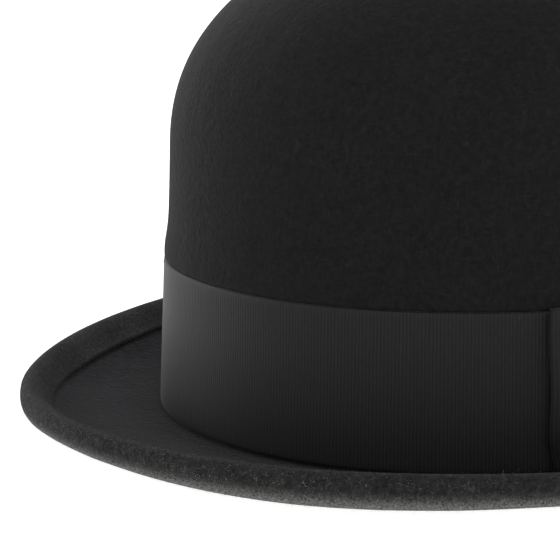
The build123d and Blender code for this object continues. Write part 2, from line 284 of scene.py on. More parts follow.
def grosgrain_material(name, period_uv, dark, light, sheen=0.12, tint=(0.93, 0.95, 1.0, 1)):
    """UV: u runs along the ribbon in mm, v across it in mm."""
    m, nt, b = mat(name)
    uv = node(nt, "ShaderNodeUVMap")
    sep = node(nt, "ShaderNodeSeparateXYZ")
    link(nt, uv.outputs[0], sep.inputs[0])
    # weft ribs across the width
    w1 = node(nt, "ShaderNodeMath", operation="MULTIPLY")
    w1.inputs[1].default_value = 2 * math.pi / period_uv
    link(nt, sep.outputs["X"], w1.inputs[0])
    wob = node(nt, "ShaderNodeTexNoise", Scale=1.1, Detail=3.0)
    wob.noise_dimensions = "2D"
    link(nt, uv.outputs[0], wob.inputs["Vector"])
    wadd = node(nt, "ShaderNodeMath", operation="MULTIPLY_ADD")
    wadd.inputs[1].default_value = 3.0
    link(nt, wob.outputs["Fac"], wadd.inputs[0])
    link(nt, w1.outputs[0], wadd.inputs[2])
    s1 = node(nt, "ShaderNodeMath", operation="SINE")
    link(nt, wadd.outputs[0], s1.inputs[0])
    # warp threads: fine lines along the ribbon, offset on alternate ribs
    w2 = node(nt, "ShaderNodeMath", operation="MULTIPLY")
    w2.inputs[1].default_value = 2 * math.pi / 0.34
    link(nt, sep.outputs["Y"], w2.inputs[0])
    half = node(nt, "ShaderNodeMath", operation="MULTIPLY_ADD")
    half.inputs[1].default_value = math.pi / period_uv
    link(nt, sep.outputs["X"], half.inputs[0])
    link(nt, w2.outputs[0], half.inputs[2])
    s2 = node(nt, "ShaderNodeMath", operation="SINE")
    link(nt, half.outputs[0], s2.inputs[0])
    hgt = node(nt, "ShaderNodeMath", operation="MULTIPLY_ADD")
    hgt.inputs[1].default_value = 0.22
    link(nt, s2.outputs[0], hgt.inputs[0])
    link(nt, s1.outputs[0], hgt.inputs[2])
    grain = node(nt, "ShaderNodeTexNoise", Scale=3.2, Detail=3.0, Roughness=0.75)
    grain.noise_dimensions = "2D"
    link(nt, uv.outputs[0], grain.inputs["Vector"])
    h2 = node(nt, "ShaderNodeMath", operation="MULTIPLY_ADD")
    h2.inputs[1].default_value = 1.9
    link(nt, grain.outputs["Fac"], h2.inputs[0])
    link(nt, hgt.outputs[0], h2.inputs[2])
    mp = node(nt, "ShaderNodeMapRange")
    mp.inputs["From Min"].default_value = -1.0
    mp.inputs["From Max"].default_value = 2.8
    link(nt, h2.outputs[0], mp.inputs["Value"])
    c = ramp(nt, mp.outputs[0], [(0.16, dark), (0.72, light)])
    # slow shade differences along the ribbon
    slow = node(nt, "ShaderNodeTexNoise", Scale=0.05, Detail=2.0)
    slow.noise_dimensions = "2D"
    link(nt, uv.outputs[0], slow.inputs["Vector"])
    tr = ramp(nt, slow.outputs["Fac"], [(0.3, (0.92, 0.92, 0.93)), (0.7, (1.05, 1.05, 1.06))])
    cloud = node(nt, "ShaderNodeTexNoise", Scale=0.7, Detail=3.0, Roughness=0.6)
    cloud.noise_dimensions = "2D"
    link(nt, uv.outputs[0], cloud.inputs["Vector"])
    ctr = ramp(nt, cloud.outputs["Fac"], [(0.3, (0.80, 0.80, 0.80)), (0.7, (1.16, 1.16, 1.17))])
    mulc = node(nt, "ShaderNodeMix", data_type="RGBA", blend_type="MULTIPLY")
    mulc.inputs["Factor"].default_value = 1.0
    link(nt, tr.outputs[0], mulc.inputs["A"])
    link(nt, ctr.outputs[0], mulc.inputs["B"])
    mul = node(nt, "ShaderNodeMix", data_type="RGBA", blend_type="MULTIPLY")
    mul.inputs["Factor"].default_value = 1.0
    link(nt, c.outputs[0], mul.inputs["A"])
    link(nt, mulc.outputs["Result"], mul.inputs["B"])
    link(nt, mul.outputs["Result"], b.inputs["Base Color"])
    b.inputs["Roughness"].default_value = 0.62
    b.inputs["Specular IOR Level"].default_value = 0.22
    b.inputs["Sheen Weight"].default_value = sheen
    b.inputs["Sheen Roughness"].default_value = 0.165
    b.inputs["Sheen Tint"].default_value = tint
    bump = node(nt, "ShaderNodeBump", Strength=0.6, Distance=0.00003)
    link(nt, h2.outputs[0], bump.inputs["Height"])
    link(nt, bump.outputs[0], b.inputs["Normal"])
    return m


RIB = 0.93  # mm between ribs
ribbon_mat = grosgrain_material("black_grosgrain", RIB, (0.0005, 0.0005, 0.0008), (0.0074, 0.0073, 0.0082), sheen=0.205)
narrow_mat = grosgrain_material("narrow_ribbon", 0.7, (0.006, 0.006, 0.007), (0.022, 0.022, 0.024))


# ------------------------------------------------------------------- felt body
def profile_brim(t):
    """Brim section round one radial line, from the crown foot over and back under: (n, 3) mm."""
    L = plan(t, u=0.0)[2]
    rows = []

    def uz(u, z):
        x, y, _, _ = plan(t, u=u)
        rows.append(np.stack([x, y, z], -1))

    def wz(w, dz, share=None):
        x, y, _, _ = plan(t, w=w)
        z = dz * plump(t)
        if share is not None:
            low, top = -8.7 * plump(t) + P["felt"], -5.2 * plump(t)
            z = low + share * (top - low)
        rows.append(np.stack([x, y, ridge(t) + z], -1))

    fe = P["felt"]
    for u, z in ((0.15, 1.9), (0.45, 0.75), (0.95, 0.25), (1.7, 0.05), (2.8, 0.0), (4.4, 0.0)):
        uz(u + 0 * t, fe + z + 0 * t)
    for g in np.linspace(0, 1, 15):
        u = P["flat"] + g * (L - P["win"] - P["flat"])
        uz(u, under(t, u, L) + fe)
    # free edge of the overwelt: a soft round lip over a tight crease
    for w, sh in ((8.97, 0.3), (8.95, 0.6), (8.86, 0.85), (8.68, 1.02)):
        wz(w, 0, sh)
    for w, dz in ((8.30, -4.95), (7.75, -4.45), (7.1, -3.70), (6.4, -2.82), (5.7, -1.98), (5.0, -1.24), (4.3, -0.66),
                  (3.6, -0.25), (3.0, -0.05), (2.45, 0.0), (1.9, -0.1), (1.4, -0.3), (0.95, -0.65), (0.55, -1.15),
                  (0.25, -1.85), (0.06, -2.8), (0.0, -3.8), (0.1, -4.9), (0.4, -6.0), (0.95, -6.95), (1.8, -7.65),
                  (3.0, -8.15), (4.4, -8.5), (6.0, -8.68), (7.6, -8.74)):
        wz(w, dz)
    for g in np.linspace(1, 0, 15):
        u = P["flat"] + g * (L - P["win"] - P["flat"])
        uz(u, under(t, u, L))
    for u in (4.0, 2.0, 0.0, -1.0):
        uz(u + 0 * t, 0.0 * t)
    return np.array(rows)


NT = 720
T = np.linspace(0, 2 * np.pi, NT, endpoint=False)
hs_dome = np.concatenate([[40.75], np.linspace(41.5, P["h1"] - 4, 18)[:-1],
                          P["h1"] - 4 + (P["ht"] - P["h1"] + 4) * np.sin(np.linspace(0, np.pi / 2, 44))])
outer = [crown(h, T) for h in hs_dome[::-1]]
outer += [crown(h, T) for h in (40.3, 36.0, 30.0, 22.0, 14.0, 7.0, 3.5)]
# the felt swells a little over the tight ribbon's upper edge
for i, h in enumerate(hs_dome[::-1]):
    swell = 0.86 * np.exp(-((h - 42.4) / 5.5) ** 2) - 0.2 * np.exp(-((h - 84) / 9.0) ** 2)
    outer[i] = crown(h, T, -swell) if swell > 0.01 else outer[i]
rows = np.concatenate([np.array(outer), profile_brim(T)], 0)
inner_h = np.concatenate([[-2.1, -1.4, -0.4, 6.0, 14.0, 24.0, 34.0, 44.0],
                          np.linspace(52, P["h1"] - 4, 5)[:-1],
                          P["h1"] - 4 + (P["ht"] - P["felt"] - P["h1"] + 4) * np.sin(np.linspace(0, np.pi / 2, 24))])
inn = []
for i, h in enumerate(inner_h):
    o = P["felt"] - (0.55 if i == 0 else (0.12 if i == 1 else 0.0))
    inn.append(crown(h, T, o))
rows = np.concatenate([rows, np.array(inn)], 0)
nr = len(rows)
n_out = len(outer)

# small unevenness of hand blocked felt, none at the ribbon or inside
arc = np.zeros(nr)
w_out = np.zeros(nr)
w_out[: n_out - 7] = 1
w_out[n_out + 8: n_out + 6 + 15 + 4 + 25 + 12] = 0.55
Pn = rows.copy()
dT = (np.roll(Pn, -1, 1) - np.roll(Pn, 1, 1))
dR = np.gradient(Pn, axis=0)
nrm = np.cross(dR, dT)
ln = np.linalg.norm(nrm, axis=-1, keepdims=True)
nrm = np.where(ln > 1e-9, nrm / np.maximum(ln, 1e-9), 0)
ref = Pn - np.array([0, 0, 40.0])
sgn = np.sign((nrm[: n_out] * ref[: n_out]).sum(-1).mean())
nrm *= sgn
uneven = smooth_noise(T[None, :], rows[:, :, 2], 3, (2, 3, 5, 7, 9, 12), 0.10) \
    + smooth_noise(T[None, :], rows[:, :, 2] * 3, 4, (14, 19, 23, 31, 40), 0.035)
rows = rows + nrm * (uneven * w_out[:, None])[..., None]

verts = rows[1:-1].reshape(-1, 3)
nrr = nr - 2
faces = [tuple(f) for f in grid_faces(nrr, NT)]
top = len(verts)
verts = np.vstack([verts, [[0, 0, P["ht"] + P["foot"]]], [[0, 0, P["ht"] - P["felt"] + P["foot"]]]])
for j in range(NT):
    faces.append((top, (j + 1) % NT, j))
    a, b2 = (nrr - 1) * NT + j, (nrr - 1) * NT + (j + 1) % NT
    faces.append((top + 1, a, b2))
felt = add_mesh("felt_shell", verts, faces)
felt.data.materials.append(felt_mat)
felt.data.materials.append(floor_mat)
felt.data.materials.append(roll_mat)
first_brim = (n_out - 3) * NT
last_brim = (n_out + 6 + 15 + 4 + 25 + 15) * NT
mid_idx = np.zeros(len(felt.data.polygons), dtype=np.int32)
n_grid = (nrr - 1) * NT
which = np.arange(n_grid)
mid_idx[:n_grid][(which >= first_brim) & (which < last_brim)] = 1
roll_from = (n_out + 6 + 15 - 1) * NT
roll_to = (n_out + 6 + 15 + 4 + 25 + 1) * NT
mid_idx[:n_grid][(which >= roll_from) & (which < roll_to)] = 2
felt.data.polygons.foreach_set("material_index", mid_idx)
# pale rubbed fuzz on the lower roll, partly also painted light from the bright floor below it, and a painted highlight
# on the ridge and welt on the side towards the left lamp
rub_and_floor_light_rows = np.zeros(nr)
k0 = n_out + 6 + 15 + 4
low_roll = [0, 0, 0, 0, 0, 0, 0, 0, 0, 0.02, 0.03, 0.02, 0.0, 0.0, 0.0, 0.0, 0.03, 0.20, 0.60, 0.95, 1.0, 0.8,
            0.35, 0.10, 0.0]
rub_and_floor_light_rows[k0: k0 + 25] = low_roll
# painted highlight: paler welt and ridge on the side towards the left lamp
painted_lit_side = np.exp(-((np.mod(T - 4.9 + np.pi, 2 * np.pi) - np.pi) / 0.85) ** 4)
top_rows = np.zeros(nr)
top_rows[k0 - 3: k0 + 16] = 1.0
blotch = 0.75 + 0.25 * np.sin(9 * T + 1.0) * np.sin(4 * T) + 0.15 * np.sin(31 * T)
rub_and_painted_light = rub_and_floor_light_rows[:, None] * (1 + 0 * T) + 0.38 * top_rows[:, None] * (painted_lit_side * blotch)[None, :]
rub_and_painted_light = rub_and_painted_light[1:-1].ravel()
rub_and_painted_light = np.concatenate([rub_and_painted_light, [0, 0]])
att = felt.data.attributes.new("rub_and_painted_light", "FLOAT", "POINT")
att.data.foreach_set("value", rub_and_painted_light.astype(np.float32))
# painted shade: near-black mixed into the brim felt beside the ribbon at the front, where the crown shades it, and in a
# softer band along the ribbon's foot, where the ribbon shades it
painted_shadow_t = 0.85 * np.exp(-((np.mod(T - 0.30 + np.pi, 2 * np.pi) - np.pi) / 0.66) ** 4)
painted_shadow_rows = np.zeros(nr)
painted_shadow_rows[n_out: n_out + 6 + 15 + 4] = 1.0
painted_shadow_rows[n_out + 6 + 15 + 4: n_out + 6 + 15 + 4 + 6] = [0.9, 0.75, 0.6, 0.4, 0.2, 0.1]
foot_rows = np.zeros(nr)
foot_rows[n_out: n_out + 21] = 0.5 * np.exp(-(np.maximum(np.arange(21) - 6.0, 0) / 5.0) ** 2)
foot_t = np.exp(-((np.mod(T + 0.45 + np.pi, 2 * np.pi) - np.pi) / 0.95) ** 4)
painted_shade = np.maximum(painted_shadow_rows[:, None] * painted_shadow_t[None, :], foot_rows[:, None] * foot_t[None, :])[1:-1].ravel()
att = felt.data.attributes.new("painted_shade", "FLOAT", "POINT")
att.data.foreach_set("value", np.concatenate([painted_shade, [0, 0]]).astype(np.float32))
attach(felt, "root")
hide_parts("felt_body")


# ----------------------------------------------------------------- nap fibres
def area_pick(rows_, nrm_, n, seed, weight=None):
    """n seeded points on a grid surface with their normals."""
    g = np.random.default_rng(seed)
    A = rows_[:-1]
    B = np.roll(rows_, -1, 1)[:-1]
    C = rows_[1:]
    ar = np.linalg.norm(np.cross(B - A, C - A), axis=-1)
    if weight is not None:
        ar = ar * weight[:-1, None]
    pr = (ar / ar.sum()).ravel()
    idx = g.choice(len(pr), size=n, p=pr)
    i, j = np.divmod(idx, rows_.shape[1])
    a, b_ = g.random(n)[:, None], g.random(n)[:, None]
    p00, p01 = rows_[i, j], rows_[i, (j + 1) % rows_.shape[1]]
    p10, p11 = rows_[i + 1, j], rows_[i + 1, (j + 1) % rows_.shape[1]]
    pos = (p00 * (1 - a) + p10 * a) * (1 - b_) + (p01 * (1 - a) + p11 * a) * b_
    nn = nrm_[i, j]
    return pos, nn, g


def fibres(name, pos, nn, g, length, lift, width, material, segs=3):
    """Fine curved hairs as thin folded strips, each a short arc off the surface."""
    n = len(pos)
    tang = g.normal(size=(n, 3))
    tang -= (tang * nn).sum(-1, keepdims=True) * nn
    tang /= np.linalg.norm(tang, axis=-1, keepdims=True)
    side = np.cross(tang, nn)
    ll = (length * g.lognormal(0, 0.45, n))[:, None]
    up = (lift * g.uniform(0.1, 1.0, n))[:, None]
    curl = g.normal(0, 0.55, n)[:, None]
    droop = g.uniform(0.2, 1.3, n)[:, None]
    out = []
    for s in np.linspace(0, 1, segs + 1):
        c = pos + ll * (s * tang * np.sqrt(np.maximum(1 - up**2, 0.05)) + (s * up * (1 - 0.55 * droop * s)) * nn
                        + curl * s * s * side * 0.6) - nn * 0.06
        wv = width * (1 - 0.6 * s)
        out.append(c + side * wv / 2)
        out.append(c - side * wv / 2)
    V = np.stack(out, 1).reshape(-1, 3)
    V[:, 2] = np.maximum(V[:, 2], 0.02)
    base = np.arange(n)[:, None] * (2 * (segs + 1))
    q = np.array([[2 * k, 2 * k + 1, 2 * k + 3, 2 * k + 2] for k in range(segs)])
    F = (base[:, None, :] + q[None]).reshape(-1, 4)
    me = bpy.data.meshes.new(name)
    me.vertices.add(len(V))
    me.vertices.foreach_set("co", (V * MM).astype(np.float32).ravel())
    me.loops.add(F.size)
    me.loops.foreach_set("vertex_index", F.astype(np.int32).ravel())
    me.polygons.add(len(F))
    me.polygons.foreach_set("loop_start", (np.arange(len(F)) * 4).astype(np.int32))
    me.update(calc_edges=True)
    ob = bpy.data.objects.new(name, me)
    bpy.context.scene.collection.objects.link(ob)
    me.materials.append(material)
    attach(ob, "root")
    return ob


i_crown = n_out - 8
pos, nn, g = area_pick(rows[: i_crown + 1], nrm[: i_crown + 1], 30000, 11)
fibres("crown_nap", pos, nn, g, 0.85, 0.50, 0.030, fuzz_mat)
i0, i1 = n_out + 8, n_out + 6 + 15 + 4 + 25 + 4
pos, nn, g = area_pick(rows[i0:i1], nrm[i0:i1], 22000, 12)
fibres("brim_nap", pos, nn, g, 0.95, 0.60, 0.030, fuzz_mat)
# pale fibres: rubbed fuzz on the roll's outer foot, partly also painted light from the bright floor below; and, on the
# side towards the left lamp, pale fibres over the free edge and roll as a painted highlight
k0 = n_out + 6 + 15 + 4
foot_w = np.zeros(30)
foot_w[17:25] = [0.25, 0.8, 1, 1, 1, 0.7, 0.25, 0.05]
pos, nn, g = area_pick(rows[k0:k0 + 30], nrm[k0:k0 + 30], 26000, 13, weight=foot_w)
fibres("roll_fuzz", pos, nn, g, 0.75, 0.55, 0.032, pale_lit_fuzz_mat)
# painted highlight: pale fibres kept only on the side towards the left lamp
pos, nn, g = area_pick(rows[k0 - 3:k0 + 24], nrm[k0 - 3:k0 + 24], 60000, 15)
turn = np.mod(np.arctan2(pos[:, 1] / 144.0, pos[:, 0] / 126.0) - 4.9 + np.pi, 2 * np.pi) - np.pi
keep = g.uniform(0, 1, len(pos)) < np.exp(-(turn / 0.85) ** 4)
fibres("lit_side_pale_fuzz", pos[keep], nn[keep], g, 0.62, 0.45, 0.036, pale_lit_fuzz_mat)
ridge_w = np.zeros(30)
ridge_w[6:16] = [0.3, 0.6, 1, 1, 1, 1, 1, 1, 0.6, 0.3]
pos, nn, g = area_pick(rows[k0:k0 + 30], nrm[k0:k0 + 30], 30000, 14, weight=ridge_w)
fibres("ridge_nap", pos, nn, g, 0.70, 0.75, 0.030, fuzz_mat)


# -------------------------------------------------------------- hat ribbon
def perimeter(h, o, t0=0.0, t1=2 * np.pi, n=2000):
    tt = np.linspace(t0, t1, n)
    p_ = crown(h, tt, o)
    d = np.linalg.norm(np.diff(p_, axis=0), axis=1)
    return tt, np.concatenate([[0], np.cumsum(d)])


ri, ro = -0.1, -0.95
tt_, ss_ = perimeter(20.0, ro)
girth = ss_[-1]
S_SIDE = float(np.interp(np.pi / 2, tt_, ss_))


def s_to_t(s):
    """Angle of the point s mm along the ribbon from the wearer's left; positive s is forward."""
    x = S_SIDE - np.asarray(s, float)
    turn = np.floor(x / girth)
    return np.interp(x - turn * girth, ss_, tt_) + 2 * np.pi * turn


def on_band(s, d, h):
    """Point d mm outside the ribbon's face."""
    s, d, h = np.broadcast_arrays(np.asarray(s, float), np.asarray(d, float), np.asarray(h, float))
    return crown(h, s_to_t(s), ro - d)


def tidy(ob):
    bm = bmesh.new()
    bm.from_mesh(ob.data)
    bmesh.ops.recalc_face_normals(bm, faces=bm.faces)
    bm.to_mesh(ob.data)
    bm.free()
    ob.data.update()
    return ob


def cloth(name, G, thick, uv, wrap=False, taper_edge=0.0):
    """Closed thin solid on a grid of mid-surface points, (rows, cols, 3) in mm."""
    n_, m_ = G.shape[:2]
    d0 = (np.roll(G, -1, 0) - np.roll(G, 1, 0)) if wrap else np.gradient(G, axis=0)
    N_ = np.cross(d0, np.gradient(G, axis=1))
    N_ /= np.maximum(np.linalg.norm(N_, axis=-1, keepdims=True), 1e-9)
    w = np.ones(m_)
    if taper_edge:
        w[0] = w[-1] = 1 - taper_edge
    A, B = G + N_ * thick / 2 * w[None, :, None], G - N_ * thick / 2 * w[None, :, None]
    R = np.concatenate([A, B[:, ::-1]], 1)
    U = np.concatenate([uv, uv[:, ::-1]], 1)
    F = [tuple(f) for f in grid_faces(n_, 2 * m_, wrap_c=True, wrap_r=wrap)]
    if not wrap:
        for r0 in (0, n_ - 1):
            base = r0 * 2 * m_
            for k in range(m_ - 1):
                F.append((base + k, base + k + 1, base + 2 * m_ - 2 - k, base + 2 * m_ - 1 - k))
    return tidy(add_mesh(name, R.reshape(-1, 3), F, U.reshape(-1, 2)))


def finish_piece(ob, material, slot, *nodes):
    ob.data.materials.append(material)
    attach(ob, "root")
    if nodes:
        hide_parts(*nodes)
    return ob


def smooth01(x):
    x = np.clip(x, 0, 1)
    return x * x * (3 - 2 * x)


NR = 1600
SR = np.linspace(0, girth, NR + 1)


def ribbon_band():
    """The ribbon round the crown; it starts and ends under the bow."""
    hs = np.concatenate([[0.0, 0.25], np.linspace(0.9, P["rh"] - 0.9, 30), [P["rh"] - 0.25, P["rh"]]])
    TR = s_to_t(-SR)
    rows_, uv = [], []

    def row(h, o):
        wav = 0.10 * np.sin(3 * TR + 1.0) + 0.06 * np.sin(7 * TR + 2.0)
        edge = np.clip((h - 30) / 10, 0, 1) * 0.25 * (1 + np.sin(5 * TR + 0.4)) * 0.5
        rows_.append(crown(h + wav * (h / 40), TR, o - edge))
        uv.append(np.stack([SR, np.full_like(SR, h)], -1))

    for k, h in enumerate(hs):
        e = {0: 0.30, 1: 0.08, len(hs) - 2: 0.16, len(hs) - 1: 0.52}.get(k, 0.0)
        row(h, ro + e)
    for h in (P["rh"], 20.0, 0.0):
        row(h, ri - 0.02)
    R = np.array(rows_)
    F = [tuple(f) for f in grid_faces(len(R), NR + 1, wrap_c=False, wrap_r=True, flip=True)]
    n_ = NR + 1
    for c in (0, NR):
        F.append(tuple(r * n_ + c for r in range(len(R))))
    return tidy(add_mesh("grosgrain_ribbon", R.reshape(-1, 3), F, np.array(uv).reshape(-1, 2)))


band = finish_piece(ribbon_band(), ribbon_mat, "ribbon", "hat_ribbon")


# ------------------------------------------------------------------------ bow
def bow_loop(name, sign, seed, cad_node):
    """One flat loop of the bow: the ribbon runs out from the knot, folds and comes back."""
    tip, low_d, top_d = 44.55, 0.40, 3.1
    rad = (top_d - low_d) / 2
    s_in = np.linspace(2.0, tip, 34)
    ang = np.linspace(-np.pi / 2, np.pi / 2, 15)[1:-1]
    s_path = np.concatenate([s_in, tip + rad * np.cos(ang) * 0.95, s_in[::-1]])
    full_d = top_d + 1.55 * smooth01((tip - s_in) / 22.0) - 0.30 * np.exp(-((s_in - 5) / 5.0) ** 2)
    d_path = np.concatenate([low_d + 0 * s_in, (low_d + top_d) / 2 + rad * np.sin(ang), full_d[::-1]])
    layer = np.concatenate([0 * s_in, 0.5 + 0.5 * np.sin(ang), 1 + 0 * s_in])
    length = np.concatenate([[0], np.cumsum(np.hypot(np.diff(s_path), np.diff(d_path)))])
    m_ = 41
    v = np.linspace(0, 1, m_)[None, :]
    S, D, Ly = s_path[:, None], d_path[:, None], layer[:, None]
    gather = 1 - smooth01((S - (knot_half + 0.6)) / 14.5)
    hl, hh = 0.75 + 2.95 * gather, 41.15 - 3.45 * gather
    H = hl + (hh - hl) * v
    out = smooth01((S - 22) / 20)
    g = np.random.default_rng(seed)
    ph = g.uniform(0, 2 * np.pi, 4)
    edge = (-1.35 * np.exp(-(v / 0.13) ** 2) - 0.10 * np.exp(-((v - 1.0) / 0.05) ** 2)
            - 0.42 * np.exp(-((v - 0.45) / 0.24) ** 2) + 0.05 * np.sin(13 * v + ph[1]))
    S2 = S + out * edge
    soft = 0.30 * np.exp(-((S - 9.5) / 7.5) ** 2)
    pleat = soft * (np.sin(2 * np.pi * (3.6 * v + 0.06 * np.sin(0.3 * S)) + ph[2]) + 0.5 * np.sin(2 * np.pi * 6.3 * v + ph[3]))
    broad = 0.16 * np.sin(0.16 * S + 3.1 * v + ph[1]) * smooth01((S - 8) / 10)
    D2 = D + Ly * (pleat + broad - 0.12) + (1 - Ly) * 0.3 * np.abs(pleat)
    D2 = D2 - Ly * 1.2 * np.exp(-(v / 0.17) ** 2) * out
    G = on_band(sign * S2, D2, H)
    UV = np.stack(np.broadcast_arrays(length[:, None] + 3.1, 40.3 * v), -1)
    ob = finish_piece(cloth(name, G, 0.52, UV, taper_edge=0.4), ribbon_mat, "ribbon", cad_node)
    return ob, length[-1]


knot_half = 7.5
front_bow, len_front = bow_loop("bow_loop_front", 1, 21, "bow_front_loop")
rear_bow, len_rear = bow_loop("bow_loop_rear", -1, 22, "bow_rear_loop")


def bow_strap():
    """The strap over the gathered middle: ribbon laid in lengthwise pleats."""
    r = 1.1
    h0_, h1_, d1_ = 3.15, 38.25, 5.35
    pts = [(0.35, h0_), (2.0, h0_ - 0.05)]
    for a_ in np.linspace(0, np.pi / 2, 7):
        pts.append((d1_ - r + r * np.sin(a_), h0_ + r - r * np.cos(a_)))
    for h in np.linspace(h0_ + 2.4, h1_ - 2.4, 22):
        pts.append((d1_ + 0.30 * np.sin(np.pi * (h - h0_) / (h1_ - h0_)), h))
    for a_ in np.linspace(np.pi / 2, 0, 7):
        pts.append((d1_ - r + r * np.sin(a_), h1_ - r + r * np.cos(a_)))
    pts += [(2.0, h1_ + 0.05), (0.35, h1_)]
    pts = np.array(pts)
    length = np.concatenate([[0], np.cumsum(np.linalg.norm(np.diff(pts, axis=0), axis=1))])
    m_ = 61
    v = np.linspace(0, 1, m_)
    Dp, Hp = pts[:, 0][:, None], pts[:, 1][:, None]
    mid = np.exp(-((Hp - 20.7) / 13.0) ** 2)
    S = (2 * v[None, :] - 1) * knot_half * (1 - 0.055 * mid)
    x = v * 4.0
    saw = (x - np.floor(x))
    pleat = np.where(saw < 0.86, saw / 0.86, (1 - saw) / 0.14)
    D2 = Dp + (0.42 * pleat[None, :] - 0.25 + 0.06 * np.sin(9 * v[None, :] + 0.2 * Hp)) * np.clip(Dp / d1_, 0.2, 1)
    D2 = D2 - 0.5 * (np.abs(2 * v[None, :] - 1) ** 8) * np.clip(Dp / d1_, 0, 1)
    G = on_band(S, D2, Hp + 0 * S)
    UV = np.stack(np.broadcast_arrays(length[:, None], 40.3 * v[None, :]), -1)
    ob = finish_piece(cloth("bow_strap", G, 0.62, UV), ribbon_mat, "ribbon", "bow_knot")
    return ob, length[-1]


strap, len_strap = bow_strap()


# ------------------------------------------------------------ thread stitches
def threads(name, centre, along, up, length, radius, material, slot, nodes=(), lift=0.22, k=7, sides=8):
    """Short stitches: rounded threads that dive at both ends."""
    centre, along, up = (np.asarray(x, float) for x in (centre, along, up))
    side = np.cross(along, up)
    u = np.linspace(-1, 1, k)
    shape = np.sqrt(np.clip(1 - (np.abs(u) * 0.98) ** 4, 0.02, 1))
    a_ = np.linspace(0, 2 * np.pi, sides, endpoint=False)
    rr = radius * np.clip(shape, 0.35, 1)
    C = centre[:, None] + along[:, None] * (u * length / 2)[None, :, None] + up[:, None] * (lift * (shape - 1))[None, :, None]
    V = C[:, :, None] + rr[None, :, None, None] * (np.cos(a_)[None, None, :, None] * up[:, None, None]
                                                     + np.sin(a_)[None, None, :, None] * side[:, None, None])
    n_ = len(centre)
    one = [tuple(f) for f in grid_faces(k, sides)]
    one += [tuple(range(sides))[::-1], tuple(range((k - 1) * sides, k * sides))]
    F = [tuple(i + j * k * sides for i in f) for j in range(n_) for f in one]
    ob = tidy(add_mesh(name, V.reshape(-1, 3), F))
    return finish_piece(ob, material, slot, *nodes)


def wall_frame(h, t, o):
    """Place, inward, sideways and upward directions on an inside or outside wall."""
    t = np.asarray(t, float)
    p0 = crown(h, t, o)
    tg = crown(h, t + 1e-3, o) - crown(h, t - 1e-3, o)
    tg /= np.linalg.norm(tg, axis=-1, keepdims=True)
    upw = crown(h + 0.5, t, o) - crown(h - 0.5, t, o)
    upw /= np.linalg.norm(upw, axis=-1, keepdims=True)
    outw = np.cross(tg, upw)
    outw *= np.sign((outw * (p0 - np.array([0, 0, 40.0]))).sum(-1, keepdims=True))
    return p0, outw, tg, upw


def ring_tube(name, h, o, z, radius, n_t, n_a, ripple=None):
    tt = np.linspace(0, 2 * np.pi, n_t, endpoint=False)
    p0 = crown(h, tt, o)
    if z is not None:
        p0[:, 2] = z
    tg = np.roll(p0, -1, 0) - np.roll(p0, 1, 0)
    tg[:, 2] = 0
    tg /= np.linalg.norm(tg, axis=-1, keepdims=True)
    outw = np.stack([tg[:, 1], -tg[:, 0], 0 * tg[:, 0]], -1)
    a_ = np.linspace(0, 2 * np.pi, n_a, endpoint=False)
    rr = radius * np.ones((n_t, n_a))
    if ripple is not None:
        rr = rr * (1 + ripple(tt[:, None], a_[None, :]))
    V = p0[:, None] + rr[..., None] * (np.cos(a_)[None, :, None] * outw[:, None] + np.sin(a_)[None, :, None] * np.array([0, 0, 1.0]))
    arc_ = np.linspace(0, 560, n_t)
    UV = np.stack(np.broadcast_arrays(arc_[:, None], radius * a_[None, :]), -1)
    return tidy(add_mesh(name, V.reshape(-1, 3), [tuple(f) for f in grid_faces(n_t, n_a, True, True)], UV.reshape(-1, 2)))


# ---------------------------------------------------------- inside materials
def leather_material(name, dark, base, light, cell=1500.0, rough=0.46):
    m, nt, b = mat(name)
    tc = node(nt, "ShaderNodeTexCoord")
    big = node(nt, "ShaderNodeTexNoise", Scale=38.0, Detail=5.0, Roughness=0.62)
    fine = node(nt, "ShaderNodeTexNoise", Scale=1400.0, Detail=3.0, Roughness=0.6)
    vor = node(nt, "ShaderNodeTexVoronoi", Scale=cell, Randomness=0.95)
    vor.feature = "DISTANCE_TO_EDGE"
    for n_ in (big, fine, vor):
        link(nt, tc.outputs["Object"], n_.inputs["Vector"])
    c = ramp(nt, big.outputs["Fac"], [(0.30, dark), (0.50, base), (0.72, light)])
    pore = ramp(nt, vor.outputs["Distance"], [(0.0, (0.62, 0.58, 0.55)), (0.12, (1, 1, 1))])
    mul = node(nt, "ShaderNodeMix", data_type="RGBA", blend_type="MULTIPLY")
    mul.inputs["Factor"].default_value = 0.8
    link(nt, c.outputs[0], mul.inputs["A"])
    link(nt, pore.outputs[0], mul.inputs["B"])
    link(nt, mul.outputs["Result"], b.inputs["Base Color"])
    b.inputs["Roughness"].default_value = rough
    b.inputs["Specular IOR Level"].default_value = 0.42
    b.inputs["Coat Weight"].default_value = 0.08
    b.inputs["Coat Roughness"].default_value = 0.35
    h_ = node(nt, "ShaderNodeMath", operation="MULTIPLY_ADD")
    h_.inputs[1].default_value = 0.35
    link(nt, fine.outputs["Fac"], h_.inputs[0])
    cl = node(nt, "ShaderNodeMath", operation="MINIMUM")
    cl.inputs[1].default_value = 0.16
    link(nt, vor.outputs["Distance"], cl.inputs[0])
    sc_ = node(nt, "ShaderNodeMath", operation="MULTIPLY")
    sc_.inputs[1].default_value = 5.0
    link(nt, cl.outputs[0], sc_.inputs[0])
    link(nt, sc_.outputs[0], h_.inputs[2])
    bump = node(nt, "ShaderNodeBump", Strength=0.6, Distance=0.00008)
    link(nt, h_.outputs[0], bump.inputs["Height"])
    link(nt, bump.outputs[0], b.inputs["Normal"])
    return m


